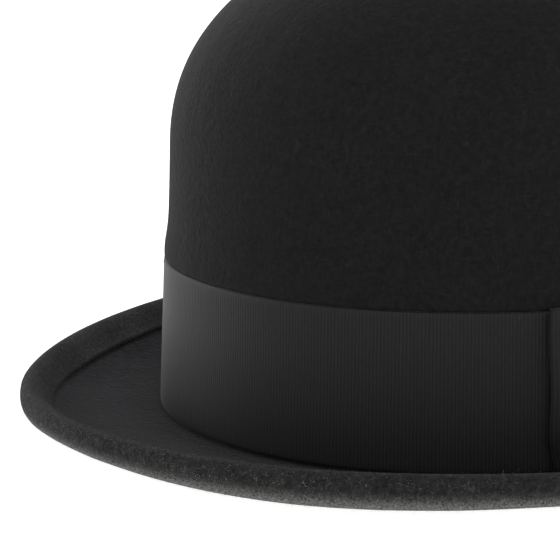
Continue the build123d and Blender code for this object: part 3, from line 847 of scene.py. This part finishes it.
def weave_material(name, dark, light, pitch_u, pitch_v, rough, sheen, spec=0.5, aniso=0.0, bump_mm=0.03, shade=0.10):
    """UV in mm; crossed fine threads, with slow shade changes."""
    m, nt, b = mat(name)
    uv = node(nt, "ShaderNodeUVMap")
    sep = node(nt, "ShaderNodeSeparateXYZ")
    link(nt, uv.outputs[0], sep.inputs[0])
    outs = []
    for axis, pitch in (("X", pitch_u), ("Y", pitch_v)):
        w = node(nt, "ShaderNodeMath", operation="MULTIPLY")
        w.inputs[1].default_value = 2 * math.pi / pitch
        link(nt, sep.outputs[axis], w.inputs[0])
        s_ = node(nt, "ShaderNodeMath", operation="SINE")
        link(nt, w.outputs[0], s_.inputs[0])
        outs.append(s_)
    add = node(nt, "ShaderNodeMath", operation="MULTIPLY_ADD")
    add.inputs[1].default_value = 0.6
    link(nt, outs[0].outputs[0], add.inputs[0])
    link(nt, outs[1].outputs[0], add.inputs[2])
    slub = node(nt, "ShaderNodeTexNoise", Scale=1.6, Detail=4.0, Roughness=0.65)
    slub.noise_dimensions = "2D"
    mp = node(nt, "ShaderNodeMapping")
    mp.inputs["Scale"].default_value = (0.25, 1.6, 1)
    link(nt, uv.outputs[0], mp.inputs["Vector"])
    link(nt, mp.outputs[0], slub.inputs["Vector"])
    h_ = node(nt, "ShaderNodeMath", operation="MULTIPLY_ADD")
    h_.inputs[1].default_value = 2.0
    link(nt, slub.outputs["Fac"], h_.inputs[0])
    link(nt, add.outputs[0], h_.inputs[2])
    mr = node(nt, "ShaderNodeMapRange")
    mr.inputs["From Min"].default_value = -1.0
    mr.inputs["From Max"].default_value = 3.0
    link(nt, h_.outputs[0], mr.inputs["Value"])
    c = ramp(nt, mr.outputs[0], [(0.15, dark), (0.8, light)])
    slow = node(nt, "ShaderNodeTexNoise", Scale=0.06, Detail=3.0)
    slow.noise_dimensions = "2D"
    link(nt, uv.outputs[0], slow.inputs["Vector"])
    tr = ramp(nt, slow.outputs["Fac"], [(0.3, (1 - shade, 1 - shade, 1 - shade)), (0.7, (1, 1, 0.99))])
    mul = node(nt, "ShaderNodeMix", data_type="RGBA", blend_type="MULTIPLY")
    mul.inputs["Factor"].default_value = 1.0
    link(nt, c.outputs[0], mul.inputs["A"])
    link(nt, tr.outputs[0], mul.inputs["B"])
    link(nt, mul.outputs["Result"], b.inputs["Base Color"])
    b.inputs["Roughness"].default_value = rough
    b.inputs["Specular IOR Level"].default_value = spec
    b.inputs["Anisotropic"].default_value = aniso
    b.inputs["Sheen Weight"].default_value = sheen
    b.inputs["Sheen Roughness"].default_value = 0.4
    bump = node(nt, "ShaderNodeBump", Strength=0.6, Distance=bump_mm * MM)
    link(nt, h_.outputs[0], bump.inputs["Height"])
    link(nt, bump.outputs[0], b.inputs["Normal"])
    return m


def thread_material(name, col):
    m, nt, b = mat(name)
    tc = node(nt, "ShaderNodeTexCoord")
    w = node(nt, "ShaderNodeTexWave", Scale=1400.0, Distortion=2.0, Detail=2.0)
    w.bands_direction = "DIAGONAL"
    link(nt, tc.outputs["Object"], w.inputs["Vector"])
    c = ramp(nt, w.outputs["Fac"], [(0.2, tuple(0.55 * x for x in col)), (0.7, col)])
    link(nt, c.outputs[0], b.inputs["Base Color"])
    b.inputs["Roughness"].default_value = 0.55
    b.inputs["Specular IOR Level"].default_value = 0.35
    b.inputs["Sheen Weight"].default_value = 0.1
    bump = node(nt, "ShaderNodeBump", Strength=0.5, Distance=0.00006)
    link(nt, w.outputs["Fac"], bump.inputs["Height"])
    link(nt, bump.outputs[0], b.inputs["Normal"])
    return m


def film_material():
    m, nt, b = mat("clear_film")
    tc = node(nt, "ShaderNodeTexCoord")
    n_ = node(nt, "ShaderNodeTexNoise", Scale=55.0, Detail=2.0)
    link(nt, tc.outputs["Object"], n_.inputs["Vector"])
    c = ramp(nt, n_.outputs["Fac"], [(0.3, (0.90, 0.91, 0.88)), (0.7, (0.97, 0.98, 0.96))])
    link(nt, c.outputs[0], b.inputs["Base Color"])
    b.inputs["Roughness"].default_value = 0.09
    b.inputs["IOR"].default_value = 1.46
    b.inputs["Transmission Weight"].default_value = 1.0
    bump = node(nt, "ShaderNodeBump", Strength=0.35, Distance=0.0006)
    link(nt, n_.outputs["Fac"], bump.inputs["Height"])
    link(nt, bump.outputs[0], b.inputs["Normal"])
    return m


leather_mat = leather_material("tan_roan_leather", (0.105, 0.046, 0.020), (0.165, 0.077, 0.036), (0.215, 0.108, 0.054))
reed_mat = leather_material("reed_leather", (0.085, 0.038, 0.018), (0.13, 0.060, 0.030), (0.17, 0.085, 0.044), cell=1900.0, rough=0.5)
satin_mat = weave_material("ivory_satin", (0.27, 0.245, 0.205), (0.42, 0.39, 0.335), 0.30, 0.16, 0.34, 0.10, spec=0.55, aniso=0.5, bump_mm=0.012)
piping_mat = weave_material("satin_piping", (0.22, 0.20, 0.16), (0.37, 0.34, 0.28), 0.30, 0.2, 0.4, 0.1, spec=0.5, bump_mm=0.012)
tab_mat = weave_material("woven_tab", (0.55, 0.54, 0.49), (0.80, 0.79, 0.74), 0.30, 0.30, 0.6, 0.1, spec=0.3, bump_mm=0.03)
brown_thread = thread_material("brown_thread", (0.30, 0.20, 0.11))
black_thread = thread_material("black_thread", (0.011, 0.011, 0.012))
pale_thread = thread_material("pale_thread", (0.42, 0.39, 0.33))
film_mat = film_material()


# ------------------------------------------------------------ sweatband, reed
def loop_solid(name, profile, n_t=720, ripple=None):
    """Closed section of (offset, height) swept round the inside."""
    tt = np.linspace(0, 2 * np.pi, n_t, endpoint=False)
    R, UV, v = [], [], 0.0
    for k, (o, h) in enumerate(profile):
        if k:
            v += math.hypot(o - profile[k - 1][0], h - profile[k - 1][1])
        oo = o + (ripple(tt, h) if ripple is not None else 0)
        R.append(crown(h + 0 * tt, tt, oo))
        UV.append(np.stack([np.linspace(0, 560, n_t), np.full(n_t, v)], -1))
    R = np.array(R)
    return tidy(add_mesh(name, R.reshape(-1, 3), [tuple(f) for f in grid_faces(len(R), n_t, True, True)],
                         np.array(UV).reshape(-1, 2)))


so_, si_ = 3.15, 4.35
bt = 56.4
prof = [(so_, 0.1)] + [(so_, h) for h in np.linspace(4, 54, 12)]
prof += [(so_, 55.9), (so_ + 0.08, 56.35), (so_ + 0.3, 56.68), (so_ + 0.6, 56.75), (si_ - 0.3, 56.68), (si_ - 0.08, 56.35), (si_, 55.9)]
prof += [(si_, 54.6), (si_, 53.75), (si_ - 0.17, 53.45), (si_ - 0.17, 53.2), (si_, 52.9), (si_, 52.1), (si_ - 0.12, 51.85),
         (si_ - 0.12, 51.65), (si_, 51.4)]
prof += [(si_, h) for h in np.linspace(49, 8, 11)]
prof += [(si_, 5.0), (si_ - 0.05, 4.1), (si_ - 0.2, 3.6), (si_ - 0.22, 3.2), (si_ - 0.05, 2.7), (si_ + 0.02, 2.0), (si_, 1.2), (si_ - 0.1, 0.5),
         (si_ - 0.35, 0.12)]


def band_ripple(tt, h):
    lift = smooth01((h - 12) / 45.0)
    seam = 0.0
    return lift * (0.14 * np.sin(5 * tt + 0.7) + 0.09 * np.sin(11 * tt + 2.0) + 0.05 * np.sin(23 * tt)) + seam


finish_piece(loop_solid("leather_sweatband", prof, ripple=band_ripple), leather_mat, "leather", "sweatband")
finish_piece(ring_tube("wrapped_reed", -0.4, 3.7, 1.75, 1.05, 1080, 16,
                       lambda tt, a_: 0.018 * np.sin(90 * tt + a_) + 0.012 * np.sin(31 * tt + 2 * a_)), reed_mat, "reed", "sweatband_reed")
n_st = 168
ts = 2 * np.pi * (np.arange(n_st) + 0.5) / n_st
p0, ow, tg, uw = wall_frame(3.4, ts, si_ - 0.1)
threads("sweatband_lock_stitches", p0 - ow * 0.02, tg, -ow, 2.5, 0.19, brown_thread, "thread_brown", ("sweatband_stitches",), lift=0.22)
# butt seam at the back, closed with crossing stitches
hz = np.arange(5.5, 51, 1.45)
zz = np.array([crown(h, np.pi, si_ + 0.1) for h in hz])
sg = np.where(np.arange(len(hz)) % 2 == 0, 1.0, -1.0)
p0 = np.array([wall_frame(h, np.array([np.pi]), si_ + 0.12) for h in hz])[:, :, 0]
al = 0.86 * p0[:, 2] * sg[:, None] + 0.5 * p0[:, 3]
al /= np.linalg.norm(al, axis=-1, keepdims=True)
threads("sweatband_back_seam", p0[:, 0] + p0[:, 1] * 0.02, al, -p0[:, 1], 2.7, 0.17, brown_thread, "thread_brown", lift=0.2)


# narrow ribbon bow on the back of the sweatband
def small_bow():
    c0, ow_, tg_, uw_ = (x[0] for x in wall_frame(46.0, np.array([np.pi]), si_ + 1.55))
    inw = -ow_
    obs = []
    for sgn, nm in ((1, "a"), (-1, "b")):
        s_in = np.linspace(0.6, 7.6, 12)
        a2 = np.linspace(-np.pi / 2, np.pi / 2, 9)[1:-1]
        sp = np.concatenate([s_in, 7.6 + 0.75 * np.cos(a2), s_in[::-1]])
        dp = np.concatenate([-0.75 + 0 * s_in, 0.75 * np.sin(a2), 0.75 + 0.35 * np.sin(np.pi * s_in[::-1] / 8.2)])
        v = np.linspace(-3, 3, 13)[None, :]
        squeeze = 1 - 0.35 * np.exp(-((sp - 0.6) / 2.6) ** 2)[:, None]
        wave = 0.16 * np.sin(v * 1.3 + sp[:, None] * 0.35)
        G = (c0 + sgn * sp[:, None, None] * tg_ + (dp[:, None] + wave * (dp[:, None] > 0))[..., None] * inw + (v * squeeze)[..., None] * uw_)
        ln_ = np.concatenate([[0], np.cumsum(np.hypot(np.diff(sp), np.diff(dp)))])
        UV = np.stack(np.broadcast_arrays(ln_[:, None], v + 3), -1)
        ob = cloth("back_bow_loop_" + nm, G, 0.3, UV)
        obs.append(finish_piece(ob, narrow_mat, "narrow_ribbon", *(("sweatband_bow",) if nm == "a" else ())))
    a2 = np.linspace(0, 2 * np.pi, 26, endpoint=False)
    ph_ = np.sign(np.cos(a2)) * np.abs(np.cos(a2)) ** 0.5 * 1.15
    vv = np.sign(np.sin(a2)) * np.abs(np.sin(a2)) ** 0.5 * 3.1
    w_ = np.linspace(-2.0, 2.0, 13)
    bul = 0.18 * np.abs(np.sin(w_ * 2.2))
    G = c0 + w_[None, :, None] * tg_ + (ph_[:, None] * (1 + bul[None, :]))[..., None] * inw + (vv[:, None] + 0 * w_)[..., None] * uw_
    UV = np.stack(np.broadcast_arrays(np.linspace(0, 16, 26)[:, None], w_[None, :] + 2), -1)
    finish_piece(cloth("back_bow_wrap", G, 0.3, UV, wrap=True), narrow_mat, "narrow_ribbon")


small_bow()


# --------------------------------------------------------------------- lining
def gathers(tt, seed, count=60):
    g = np.random.default_rng(seed)
    ph = tt * count + 1.3 * np.sin(3 * tt + g.uniform(0, 6)) + 0.9 * np.sin(7 * tt + g.uniform(0, 6))
    amp = 0.65 + 0.25 * np.sin(5 * tt + 1.0) + 0.15 * np.sin(13 * tt + 2.0)
    return amp * (0.5 + 0.5 * np.sin(ph)) ** 1.5


def side_lining():
    n_t = 1080
    tt = np.linspace(0, 2 * np.pi, n_t, endpoint=False)
    hs = np.concatenate([np.linspace(34, 56, 8)[:-1], np.linspace(56, 103.8, 30)])
    fold = gathers(tt, 31)
    outs, ins, uvs = [], [], []
    arc_ = np.linspace(0, 566, n_t)
    for h in hs:
        A = 0.10 + 0.62 * smooth01((h - 66) / 36.0)
        o = 2.52 + A * fold
        outs.append(crown(h + 0 * tt, tt, o))
        ins.append(crown(h + 0 * tt, tt, o + 0.3))
        uvs.append(np.stack([arc_, np.full(n_t, h - 34)], -1))
    R = np.array(outs + ins[::-1])
    UV = np.array(uvs + uvs[::-1])
    ob = tidy(add_mesh("satin_side_lining", R.reshape(-1, 3), [tuple(f) for f in grid_faces(len(R), n_t, True, True)],
                       UV.reshape(-1, 2)))
    finish_piece(ob, satin_mat, "satin", "lining_side")
    a_ = np.array(outs)
    e1, e2 = np.roll(a_, -1, 1)[:-1] - a_[:-1], a_[1:] - a_[:-1]
    area = np.linalg.norm(np.cross(e1, e2), axis=-1).sum() * 1e-6
    width = float(np.linalg.norm(np.diff(a_[:, 0], axis=0), axis=1).sum()) * MM
    return width, area / width


side_w, side_l = side_lining()


def dome_shell(name, o, th, h0, seed, n_t=720, rim=0.0, nodes=(), material=None, slot=""):
    tt = np.linspace(0, 2 * np.pi, n_t, endpoint=False)
    fold = gathers(tt, seed)
    layers = []
    for off in (o, o + th):
        rise = P["ht"] - off
        q = np.linspace(0, 1, 30)
        hh = h0 + (rise - h0) * np.sin(q * np.pi / 2)
        hh[-1] = rise - 1e-4 * (rise - h0)
        rows_ = []
        for h in hh:
            share = np.clip((h - h0) / (rise - h0), 0, 1)
            A = rim * (1 - smooth01(share / 0.75))
            rows_.append(crown(h + 0 * tt, tt, off + A * fold))
        layers.append(np.array(rows_))
    A_, B_ = layers
    n_ = len(A_)
    V = np.concatenate([A_.reshape(-1, 3), B_.reshape(-1, 3), [[0, 0, P["ht"] - o + P["foot"]], [0, 0, P["ht"] - o - th + P["foot"]]]])
    F = [tuple(f) for f in grid_faces(n_, n_t)] + [tuple(f) for f in grid_faces(n_, n_t, flip=True, base=n_ * n_t)]
    j = np.arange(n_t)
    j2 = (j + 1) % n_t
    pa, pb = 2 * n_ * n_t, 2 * n_ * n_t + 1
    F += [(int(a), int(b_), int(b_ + n_ * n_t), int(a + n_ * n_t)) for a, b_ in zip(j, j2)]
    F += [(int((n_ - 1) * n_t + a), int((n_ - 1) * n_t + b_), pa) for a, b_ in zip(j, j2)]
    F += [(int((2 * n_ - 1) * n_t + b_), int((2 * n_ - 1) * n_t + a), pb) for a, b_ in zip(j, j2)]
    ob = tidy(add_mesh(name, V, F, V[:, :2]))
    finish_piece(ob, material, slot, *nodes)
    e1, e2 = np.roll(A_, -1, 1)[:-1] - A_[:-1], A_[1:] - A_[:-1]
    area = np.linalg.norm(np.cross(e1, e2), axis=-1).sum() * 1e-6
    run = [float(np.linalg.norm(np.diff(A_[:, k], axis=0), axis=1).sum()) * MM for k in (0, n_t // 4)]
    return ob, area, run


tip_ob, tip_area, tip_run = dome_shell("satin_tip", 2.55, 0.3, 104.1, 33, rim=0.5, nodes=("lining_tip",), material=satin_mat, slot="satin")
dome_shell("clear_tip_guard", 3.35, 0.25, 121.5, 34, nodes=("tip_guard",), material=film_mat, slot="clear_film")
finish_piece(ring_tube("piping_cord", 104.0, 3.5, None, 0.85, 1080, 14,
                       lambda tt, a_: 0.03 * np.sin(150 * tt + 1.4 * np.sin(4 * tt)) + 0.015 * np.sin(61 * tt + a_)),
             piping_mat, "piping", "lining_piping")


# blank size tab on the side lining
def tab_piece():
    c0, ow_, tg_, uw_ = (x[0] for x in wall_frame(69.0, np.array([3 * np.pi / 2]), 3.65))
    y = np.linspace(-6.5, 6.5, 20)
    z = np.linspace(-8.5, 8.5, 24)
    Z, Y = np.meshgrid(z, y, indexing="ij")
    bow_ = 0.22 * np.cos(Y / 6.5 * 1.4) * np.sin((Z + 8.5) / 17 * np.pi) + Y * Y / 230 * -1.0
    G = c0 + Y[..., None] * tg_ + Z[..., None] * uw_ + (-bow_)[..., None] * ow_
    ob = cloth("blank_size_tab", G, 0.3, np.stack([Y + 6.5, Z + 8.5], -1))
    finish_piece(ob, tab_mat, "tab", "size_tab")
    yy = np.linspace(-5.6, 5.6, 6)
    c = np.array([c0 + y_ * tg_ + z_ * uw_ - ow_ * (0.16 - y_ * y_ / 230) for z_ in (-7.6, 7.6) for y_ in yy])
    threads("size_tab_stitches", c, np.tile(tg_, (len(c), 1)), np.tile(-ow_, (len(c), 1)), 1.5, 0.11, pale_thread, "satin", lift=0.14)


tab_piece()

# small tacks that hold the ribbon's two edges to the felt
tk_t = np.concatenate([[np.pi / 8 + i * np.pi / 4 + {1: -0.12, 2: 0.12}.get(i, 0.0)] for i in range(8)])
cen, al, upv = [], [], []
for h in (39.1, 1.2):
    p0, ow, tg, uw = wall_frame(h, tk_t, ro - 0.02)
    cen.append(p0)
    al.append(0.92 * uw + 0.39 * tg)
    upv.append(ow)
al = np.concatenate(al)
al /= np.linalg.norm(al, axis=-1, keepdims=True)
threads("ribbon_edge_tacks", np.concatenate(cen), al, np.concatenate(upv), 1.3, 0.12, black_thread, "thread_black",
        ("ribbon_tacks",), lift=0.15)


# ---------------------------------------------------------------- stage
def camera():
    az, el, D = math.radians(56.9), math.radians(8.8), 656.5
    yaw, pitch, roll, f = math.radians(-6.003), math.radians(-2.627), math.radians(0.266), 2336.9
    b = Vector((math.sin(az) * math.cos(el), -math.cos(az) * math.cos(el), math.sin(el)))
    C = Vector((0, 0, 62.9)) + b * D
    fwd = -b
    right = Vector((math.cos(az), math.sin(az), 0))
    up = right.cross(fwd)
    f2 = fwd * math.cos(yaw) + right * math.sin(yaw)
    r2 = right * math.cos(yaw) - fwd * math.sin(yaw)
    f3 = f2 * math.cos(pitch) + up * math.sin(pitch)
    u3 = up * math.cos(pitch) - f2 * math.sin(pitch)
    r4 = r2 * math.cos(roll) + u3 * math.sin(roll)
    u4 = u3 * math.cos(roll) - r2 * math.sin(roll)
    cd = bpy.data.cameras.new("camera")
    cd.sensor_width = 36.0
    cd.lens = f / 560 * 36.0
    cd.clip_start, cd.clip_end = 0.05, 50
    cd.dof.use_dof = False
    ob = bpy.data.objects.new("camera", cd)
    M = Matrix.Identity(4)
    for i in range(3):
        M[i][0], M[i][1], M[i][2], M[i][3] = r4[i], u4[i], -f3[i], C[i] * MM
    ob.matrix_world = M
    bpy.context.scene.collection.objects.link(ob)
    bpy.context.scene.camera = ob
    return ob


camera()
n = 64
ang = np.linspace(0, 2 * np.pi, n, endpoint=False)
floor = add_mesh("floor", np.vstack([np.stack([2600 * np.cos(ang), 2600 * np.sin(ang), 0 * ang - 0.05], -1), [[0, 0, -0.05]]]),
                 [(n, i, (i + 1) % n) for i in range(n)], smooth=False)
m, nt, b = mat("white_floor")
tc = node(nt, "ShaderNodeTexCoord")
fn = node(nt, "ShaderNodeTexNoise", Scale=60.0, Detail=2.0)
link(nt, tc.outputs["Object"], fn.inputs["Vector"])
fr = ramp(nt, fn.outputs["Fac"], [(0.3, (0.34, 0.34, 0.34)), (0.7, (0.36, 0.36, 0.36))])
link(nt, fr.outputs[0], b.inputs["Base Color"])
b.inputs["Roughness"].default_value = 0.9
b.inputs["Emission Color"].default_value = (1, 1, 1, 1)
b.inputs["Emission Strength"].default_value = 0.97
floor.data.materials.append(m)

world = bpy.data.worlds.new("studio")
bpy.context.scene.world = world
world.use_nodes = True
wn = world.node_tree
bg = wn.nodes["Background"]
bg.inputs[0].default_value = (1, 1, 1, 1)
bg.inputs[1].default_value = 1.25
sc = bpy.context.scene
sc.view_settings.view_transform = "Standard"
sc.view_settings.look = "None"


def area_light(name, loc, target, size, power, size_y=None):
    ld = bpy.data.lights.new(name, "AREA")
    ld.shape = "RECTANGLE"
    ld.size, ld.size_y = size, size_y or size
    ld.energy = power
    ob = bpy.data.objects.new(name, ld)
    d = Vector(target) - Vector(loc)
    ob.matrix_world = Matrix.Translation(Vector(loc)) @ d.to_track_quat("-Z", "Y").to_matrix().to_4x4()
    bpy.context.scene.collection.objects.link(ob)
    return ob


area_light("soft_left", (-1.30, -0.76, 0.115), (0, 0, 0.065), 0.8, 7.2)
